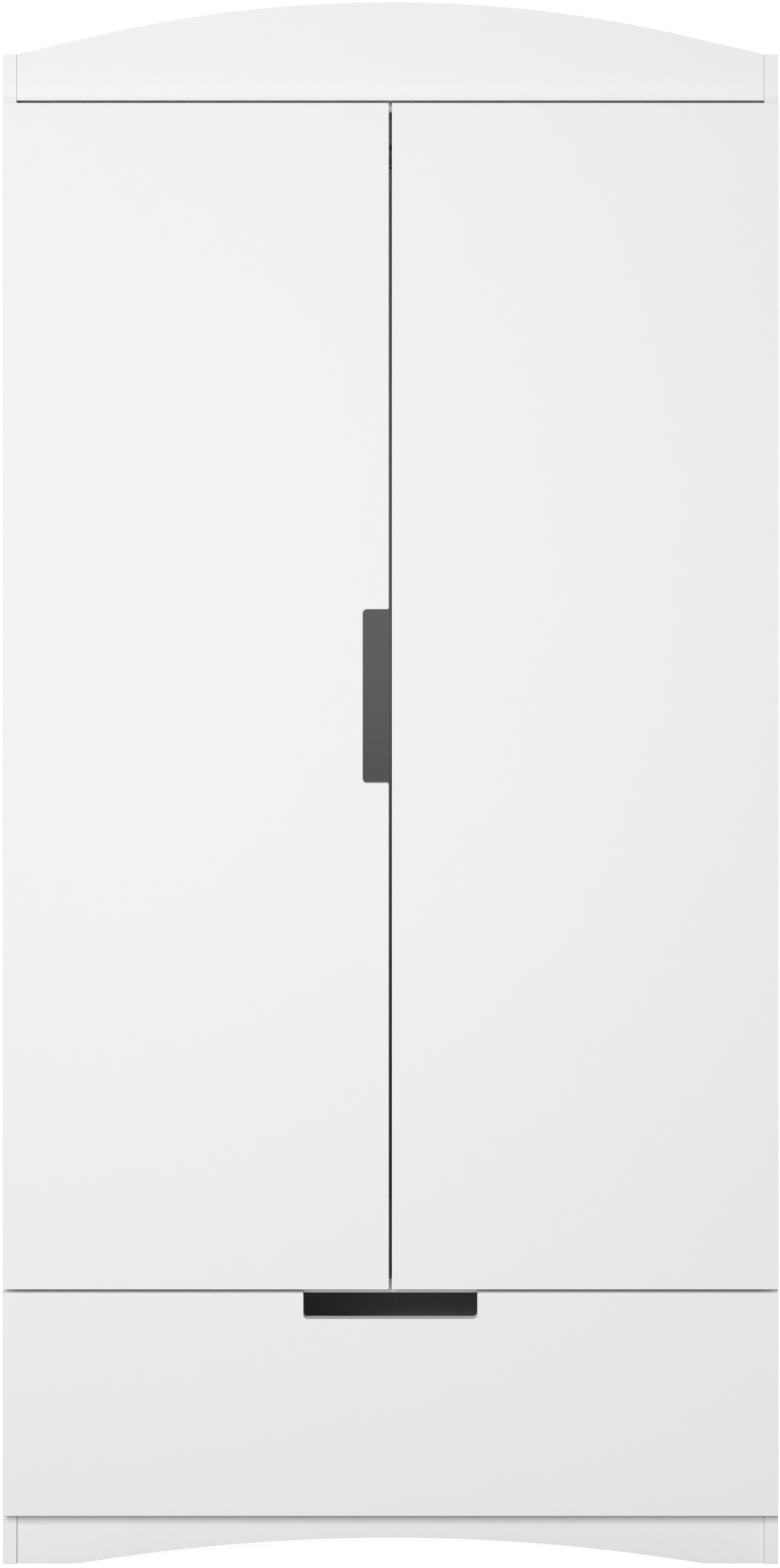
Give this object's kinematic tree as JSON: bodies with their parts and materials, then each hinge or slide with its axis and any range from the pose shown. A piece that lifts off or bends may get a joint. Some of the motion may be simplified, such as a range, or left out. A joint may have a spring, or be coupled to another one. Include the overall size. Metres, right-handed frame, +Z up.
{
  "type": "wardrobe",
  "caption": "Tall white nursery wardrobe with an arched crown, hinged slab doors with a finger cut-out, a wide drawer below and an arched plinth.",
  "frame": {"origin": "on the floor under the middle of the wardrobe's box", "axes": "+Z up, the doors face -Y, +X is to the right for someone facing the doors"},
  "size_m": [1, 0.55, 2.0168],
  "materials": {
    "white_lacquer": "satin white lacquer on smooth board",
    "white_melamine": "matt white melamine-faced board",
    "white_hardboard": "thin white-faced hardboard",
    "white_plastic": "moulded white plastic",
    "chromed_tube": "bright chromed steel tube",
    "nickelled_steel": "nickel-plated pressed steel",
    "coated_steel": "epoxy-coated white steel",
    "soft_pad": "translucent soft pad"
  },
  "bodies": {
    "carcass": {"back_joining_strip": "white_plastic", "back_panel_left": "white_hardboard", "back_panel_right": "white_hardboard", "base_panel": "white_melamine", "cabinet_slide_left": "coated_steel", "cabinet_slide_right": "coated_steel", "crown_board": "white_lacquer", "crown_bracket_left": "nickelled_steel", "crown_bracket_right": "nickelled_steel", "fixed_shelf": "white_melamine", "floor_glide_front_left": "white_plastic", "floor_glide_front_right": "white_plastic", "floor_glide_rear_left": "white_plastic", "floor_glide_rear_right": "white_plastic", "hanging_rail": "chromed_tube", "hinge_arm_left_lower": "nickelled_steel", "hinge_arm_left_middle": "nickelled_steel", "hinge_arm_left_upper": "nickelled_steel", "hinge_arm_right_lower": "nickelled_steel", "hinge_arm_right_middle": "nickelled_steel", "hinge_arm_right_upper": "nickelled_steel", "hinge_plate_left_lower": "nickelled_steel", "hinge_plate_left_middle": "nickelled_steel", "hinge_plate_left_upper": "nickelled_steel", "hinge_plate_right_lower": "nickelled_steel", "hinge_plate_right_middle": "nickelled_steel", "hinge_plate_right_upper": "nickelled_steel", "plinth_board": "white_lacquer", "rail_socket_left": "white_plastic", "rail_socket_right": "white_plastic", "rear_plinth": "white_melamine", "rear_rail": "white_melamine", "side_panel_left": "white_lacquer", "side_panel_right": "white_lacquer", "top_panel": "white_melamine", "wall_bracket_left": "nickelled_steel", "wall_bracket_right": "nickelled_steel"},
    "door_left": {"door_bumper_left": "soft_pad", "hinge_cup_left_lower": "nickelled_steel", "hinge_cup_left_middle": "nickelled_steel", "hinge_cup_left_upper": "nickelled_steel", "left_door": "white_lacquer"},
    "door_right": {"door_bumper_right": "soft_pad", "hinge_cup_right_lower": "nickelled_steel", "hinge_cup_right_middle": "nickelled_steel", "hinge_cup_right_upper": "nickelled_steel", "right_door": "white_lacquer"},
    "drawer": {"drawer_back": "white_melamine", "drawer_bottom": "white_hardboard", "drawer_front": "white_lacquer", "drawer_side_left": "white_melamine", "drawer_side_right": "white_melamine", "drawer_slide_left": "coated_steel", "drawer_slide_right": "coated_steel"},
    "front_roller_left": {"front_roller_left": "white_plastic"},
    "front_roller_right": {"front_roller_right": "white_plastic"},
    "rear_roller_left": {"rear_roller_left": "white_plastic"},
    "rear_roller_right": {"rear_roller_right": "white_plastic"}
  },
  "joints": [
    {"name": "left_door_hinge", "type": "hinge", "parent": "carcass", "child": "door_left", "pos_m": [-0.4905, -0.269, 1.1232], "axis": [0, 0, -1], "range_deg": [0, 100]},
    {"name": "right_door_hinge", "type": "hinge", "parent": "carcass", "child": "door_right", "pos_m": [0.4905, -0.269, 1.1232], "axis": [0, 0, 1], "range_deg": [0, 100]},
    {"name": "drawer_slide", "type": "slide", "parent": "carcass", "child": "drawer", "axis": [0, -1, 0], "range_m": [0, 0.34]},
    {"name": "front_roller_left_spin", "type": "hinge", "parent": "carcass", "child": "front_roller_left", "pos_m": [-0.4766, -0.237, 0.122], "axis": [1, 0, 0], "range_deg": [0, 1950]},
    {"name": "rear_roller_left_spin", "type": "hinge", "parent": "drawer", "child": "rear_roller_left", "pos_m": [-0.4766, 0.1793, 0.1195], "axis": [1, 0, 0], "range_deg": [0, 1950]},
    {"name": "front_roller_right_spin", "type": "hinge", "parent": "carcass", "child": "front_roller_right", "pos_m": [0.4766, -0.237, 0.122], "axis": [1, 0, 0], "range_deg": [0, 1950]},
    {"name": "rear_roller_right_spin", "type": "hinge", "parent": "drawer", "child": "rear_roller_right", "pos_m": [0.4766, 0.1793, 0.1195], "axis": [1, 0, 0], "range_deg": [0, 1950]}
  ],
  "couplings": [
    {"joint": "front_roller_left_spin", "follows": "drawer_slide", "rad_per_m": 100},
    {"joint": "rear_roller_left_spin", "follows": "drawer_slide", "rad_per_m": 100},
    {"joint": "front_roller_right_spin", "follows": "drawer_slide", "rad_per_m": 100},
    {"joint": "rear_roller_right_spin", "follows": "drawer_slide", "rad_per_m": 100}
  ]
}
